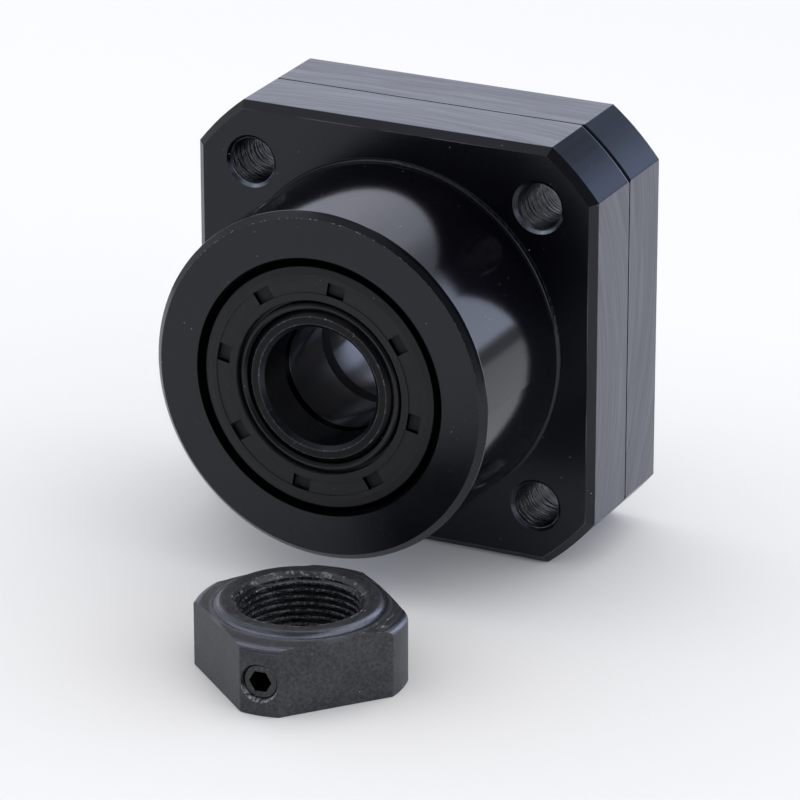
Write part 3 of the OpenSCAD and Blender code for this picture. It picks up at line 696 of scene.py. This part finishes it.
def thread_depth(phase):
    """Depth below the crest of the bore's thread, or above the root of a screw's."""
    p = phase % 1.0
    if p < THREAD_FLANK:
        return THREAD_DEPTH * p / THREAD_FLANK
    if p < THREAD_FLANK + THREAD_ROOT:
        return THREAD_DEPTH
    if p < 2 * THREAD_FLANK + THREAD_ROOT:
        return THREAD_DEPTH * (1 - (p - THREAD_FLANK - THREAD_ROOT) / THREAD_FLANK)
    return 0.0


def hexagon(a, flat):
    """Radius at an angle of a hexagon whose sides lie at a distance flat."""
    return flat / math.cos((a + math.pi / 6) % (math.pi / 3) - math.pi / 6)


def nut_outer(a):
    """Radius of the nut at an angle: flats that run softly into the turned corners."""
    soft = 0.10
    q = (a + math.pi / 4) % (math.pi / 2) - math.pi / 4
    flat = NUT_HALF / math.cos(q)
    t = max(0.0, min(1.0, 0.5 + 0.5 * (NUT_CORNER_R - flat) / soft))
    return NUT_CORNER_R + (flat - NUT_CORNER_R) * t - soft * t * (1 - t)


def nut_section(a):
    """Closed section of the nut at an angle, from the mouth out, down and up the thread."""
    ring_step, foot = 0.75, 0.95                     # height of the seat ring, width of its fillet
    over, drop = 1.0, 0.95                           # rounding over the corners
    h, ring_r, foot_r = NUT_H, NUT_RING_R, NUT_RING_R + foot
    round_r = NUT_CORNER_R - over
    slope = (NUT_CORNER_H - (h - ring_step)) / (NUT_CORNER_R - foot_r)
    outer_r = nut_outer(a)
    turn_r = min(outer_r - 0.1, round_r)

    def cone(r):
        return h - ring_step + slope * (r - foot_r)

    def shoulder(r):
        if r <= round_r:
            return cone(r)
        t = min(1.0, (r - round_r) / over)
        return cone(round_r) - drop * (1 - math.sqrt(max(0.0, 1 - t * t)))

    pts = [(NUT_MOUTH_R, h), (NUT_MOUTH_R + 0.4, h), (ring_r - 0.16, h), (ring_r - 0.06, h - 0.02),
           (ring_r, h - 0.07), (ring_r + 0.06, h - 0.16), (ring_r + 0.2, h - 0.38),
           (ring_r + 0.30, h - 0.52), (ring_r + 0.42, h - 0.63), (ring_r + 0.58, h - 0.70),
           (ring_r + 0.76, h - 0.735), (foot_r, h - ring_step)]
    pts += [(r, cone(r)) for r in steps(foot_r, turn_r, 5)[1:]]
    for k in range(1, 8):
        r = turn_r + (outer_r - turn_r) * math.sin(k * math.pi / 14)
        edge = 0.10 * (1 - math.sqrt(max(0.0, 1 - (k / 7) ** 2))) if turn_r < round_r else 0.0
        pts.append((r, shoulder(r) - edge))
    pts += [(outer_r, z) for z in steps(pts[-1][1], 0.14, 5)[1:]]
    pts += [(outer_r - 0.04, 0.04), (outer_r - 0.14, 0.0), (NUT_MOUTH_R + 1.0, 0.0),
            (NUT_MOUTH_R, 0.0)]
    for z in reversed(steps(h, 0.0, 132)[1:-1]):
        thread = NUT_MINOR_R + thread_depth(z + a / (2 * math.pi))
        countersink = max(NUT_MOUTH_R - z, NUT_MOUTH_R - (h - z))
        pts.append((max(thread, countersink), z))
    return pts


def nut_angles():
    """Even steps round the nut, with more where a flat meets a turned corner."""
    joint = math.acos(NUT_HALF / NUT_CORNER_R)
    even = steps(-math.pi / 4, math.pi / 4, 66)[:-1]
    extra = [s * joint + d for s in (-1, 1) for d in (-0.006, -0.003, 0.0, 0.003, 0.006)]
    quarter = sorted(even + extra)
    return sorted((q + k * math.pi / 2) % (2 * math.pi) for k in range(4) for q in quarter)


def screw_hole_section(a):
    """Tool that cuts the set screw's hole, with a countersunk mouth at the corner."""
    r, tip = SET_SCREW_HOLE_R, NUT_CORNER_R - 0.25
    return [(0, 3), (r, 3), (r, tip - 0.15), (2.56, tip), (2.9, tip + 0.5), (2.9, 20), (0, 20)]


def cut_away(body, tool):
    """Mesh of the body without the tool; both objects are used up."""
    mod = body.modifiers.new("hole", "BOOLEAN")
    mod.operation = "DIFFERENCE"
    mod.solver = "EXACT"
    mod.object = tool
    bm = bmesh.new()
    bm.from_object(body, bpy.context.evaluated_depsgraph_get())
    for obj in (body, tool):
        data = obj.data
        bpy.data.objects.remove(obj)
        bpy.data.meshes.remove(data)
    return bm


def nut_piece():
    """Lock nut with its thread, cut by the set screw's hole."""
    bm = bmesh.new()
    spun(bm, Matrix.Identity(4), nut_angles(), nut_section, True)
    body = object_of("nut_body", bm)
    cut = bmesh.new()
    spun(cut, ALONG_CORNER, turns(72), screw_hole_section, False)
    bm = cut_away(body, object_of("nut_hole", cut))
    bm.transform(ON_FLOOR)
    obj = mesh_piece("lock_nut_threaded", bm, "nut_steel", 24.0)
    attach(obj, "housing")
    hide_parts("lock_nut")


def set_screw_section(a):
    """Threaded and chamfered outside, with a hexagon socket that ends in a cone."""
    pitch, flat = 0.8, 1.25
    tip = 0.04                                       # clear of the set piece
    length = SET_SCREW_LEN
    hexa = hexagon(a, flat)
    pts = [(0.0, tip), (1.2, tip)]
    for z in steps(tip, length, 48):
        depth = thread_depth(z / pitch - a / (2 * math.pi)) * pitch
        thread = SET_SCREW_R - 0.8 * (THREAD_DEPTH * pitch - depth)
        chamfer = 2.3 + (length - z) * 0.8 if z > length / 2 else 1.95 + z
        pts.append((min(thread, chamfer, SET_SCREW_R), z))
    return pts + [(1.90, length), (1.78, length - 0.03), (hexa * 1.10, length - 0.10),
                  (hexa * 1.02, length - 0.30), (hexa, length - 1.75),
                  (hexa * 0.55, length - 2.0), (0.0, length - 2.2)]


def set_screw_piece():
    bm = bmesh.new()
    place = ALONG_CORNER @ Matrix.Translation((0, 0, SET_SCREW_TIP))
    spun(bm, place, turns(96), set_screw_section, False)
    bm.transform(ON_FLOOR)
    obj = mesh_piece("set_screw_threaded", bm, "screw_steel", 28.0)
    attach(obj, "set_screw")
    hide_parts("set_screw")


def cap_screw_section(a):
    """Cap screw: threaded shank below 0, knurled head with a hexagon socket above it."""
    pitch, shank_r, flat = 0.7, 1.98, 1.5
    hexa = hexagon(a, flat)
    head_r = 3.48 - 0.07 * (0.5 - 0.5 * math.cos(36 * a))
    pts = [(0.0, -SCREW_LEN), (1.3, -SCREW_LEN)]
    for z in steps(-SCREW_LEN, -4.0, 60):
        depth = thread_depth(z / pitch - a / (2 * math.pi)) * pitch
        thread = shank_r - 0.9 * (THREAD_DEPTH * pitch - depth)
        pts.append((min(thread, 1.4 + (z + SCREW_LEN)), z))
    return pts + [(shank_r, -3.6), (shank_r, -0.2), (2.15, 0.0), (3.3, 0.0), (head_r, 0.2),
                  (head_r, 3.25), (3.42, 3.42), (3.28, 3.62), (3.02, 3.86), (2.75, 3.98),
                  (2.4, 4.0), (1.85, 4.0), (hexa + 0.04, 3.9), (hexa, 3.78), (hexa, 2.1),
                  (hexa * 0.5, 1.75), (0.0, 1.5)]


def cover_screw_pieces():
    """The cover's four cap screws, as one piece."""
    bm = bmesh.new()
    for k in range(4):
        place = Matrix.Rotation(-math.pi / 2, 4, "X") @ Matrix.Rotation(k * math.pi / 2, 4, "Z")
        place = place @ Matrix.Translation((SCREW_PCD / 2, 0, REAR_FACE - SCREW_CBORE))
        screw = bmesh.new()
        spun(screw, place, turns(144), cap_screw_section, False)
        mesh = bpy.data.meshes.new("screw")
        screw.to_mesh(mesh)
        screw.free()
        bm.from_mesh(mesh)
        bpy.data.meshes.remove(mesh)
    obj = mesh_piece("cover_cap_screws", bm, "screw_steel", 28.0)
    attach(obj, "housing")
    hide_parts("cover_screws")


nut_piece()
set_screw_piece()
cover_screw_pieces()


# ---------------------------------------------------------------- stage
def floor():
    """White floor; in reflections it has a dark ring that keeps the black metal black."""
    me = bpy.data.meshes.new("floor")
    bm = bmesh.new()
    under = Matrix.Translation((0, 0, cad_box[0][2] - 0.02 * MM))
    bmesh.ops.create_circle(bm, cap_ends=True, segments=128, radius=6.0, matrix=under)
    bm.to_mesh(me)
    bm.free()
    obj = bpy.data.objects.new("floor", me)
    scene.collection.objects.link(obj)
    m, g, s = material("floor_white")
    v = g.coord()
    x, y = g.split(v)[:2]
    d = g.hypot(x, y)
    ring = g.mul(g.ramp(d, 0.30, 0.40), g.ramp(d, 2.4, 1.5))
    mirrored = g.node("ShaderNodeLightPath").outputs["Is Glossy Ray"]
    tone = g.noise(v, 3.0, 2.0)
    col = g.mix(tone, (0.75, 0.753, 0.765), (0.77, 0.773, 0.785))
    # painted shade: the floor is darker towards the back
    col = g.mix(g.ramp(y, 0.05, 0.6), col, (0.675, 0.670, 0.690))
    col = g.mix(g.mul(g.mul(ring, 0.72), mirrored), col, (0.05, 0.05, 0.06))
    g.put(s.inputs["Base Color"], col)
    s.inputs["Roughness"].default_value = 0.9
    s.inputs["Specular IOR Level"].default_value = 0.1
    me.materials.append(m)


def lamp(name, place, aim, size, power, color):
    """Large soft lamp that lights the scene and isn't mirrored in it."""
    data = bpy.data.lights.new(name, "AREA")
    data.shape = "RECTANGLE"
    data.size, data.size_y = size
    data.energy = power
    data.color = color
    obj = bpy.data.objects.new(name, data)
    obj.location = place
    obj.rotation_euler = (Vector(aim) - Vector(place)).to_track_quat("-Z", "Y").to_euler()
    obj.visible_camera = False
    obj.visible_glossy = False
    scene.collection.objects.link(obj)


def studio():
    """Surroundings: a sky of panels for reflections, a plain dome for matt surfaces."""
    world = bpy.data.worlds.new("studio")
    scene.world = world
    world.use_nodes = True
    g = Net(world.node_tree)
    back = next(n for n in world.node_tree.nodes if n.type == "BACKGROUND")
    dx, dy, dz = g.split(g.node("ShaderNodeTexCoord").outputs["Generated"])
    azim = g.mul(g.math("ARCTAN2", dx, dy), 180 / math.pi)
    elev = g.mul(g.math("ARCSINE", dz), 180 / math.pi)

    def edge(x, at, soft):
        """0 below an angle and 1 above it; a negative soft turns it round."""
        return g.ramp(x, at - soft, at + soft)

    def panel(left, right, low, high):
        """1 inside a window of the sky; each side is a pair of angle and softness."""
        wide = g.mul(edge(azim, *left), edge(azim, right[0], -right[1]))
        return g.mul(wide, g.mul(edge(elev, *low), edge(elev, high[0], -high[1])))

    toward = g.add(g.mul(dy, -0.6), g.mul(dz, 0.8))
    low_sky = g.mix(g.ramp(dy, -0.75, -0.1), (0.17, 0.18, 0.20), (0.60, 0.615, 0.64))
    sky = g.mix(g.ramp(elev, 24.0, 58.0), low_sky, (1.20, 1.21, 1.23))
    sky = g.mix(g.mul(g.ramp(toward, 0.80, 0.90), 0.75), sky, (0.20, 0.20, 0.21))
    left_card = g.mix(g.ramp(elev, 15.0, 30.0), (1.05, 1.08, 1.27), (1.56, 1.58, 1.82))
    panels = [
        (((50, 6), (112, 6), (3, 4), (55, 6)), (1.45, 1.46, 1.50)),          # bright, right
        (((118, 7), (170, 8), (-4, 5), (60, 8)), (0.03, 0.03, 0.035)),       # black, far right
        (((4, 4), (32, 4), (17, 4), (44, 4)), (0.76, 0.80, 0.92)),           # dim, behind
        (((-37, 3), (8, 7), (9.5, 4), (42, 4)), left_card),
        (((22, 4), (44, 4), (0, 0.6), (26, 6)), (2.05, 2.20, 2.75)),         # blue, low
    ]
    for window, light in panels:
        sky = g.mix(panel(*window), sky, light)
    # bright and cool low at the sides, dark in front, warmer overhead
    dome = g.mix(g.ramp(dy, -0.90, -0.50), (0.12, 0.125, 0.14), (2.22, 2.33, 2.58))
    dome = g.mix(g.ramp(elev, 20.0, 50.0), dome, (0.84, 0.81, 0.765))
    path = g.node("ShaderNodeLightPath")
    seen = g.mix(path.outputs["Is Glossy Ray"], dome, sky)
    seen = g.mix(path.outputs["Is Camera Ray"], seen, (0.955, 0.96, 0.975))
    g.put(back.inputs["Color"], seen)
    back.inputs["Strength"].default_value = 1.0


floor()
lamp("lamp_over", (-0.05, 0.15, 1.15), (0, 0, 0), (1.9, 1.5), 3.1, (1.0, 0.95, 0.86))
studio()

scene.view_settings.view_transform = "Standard"
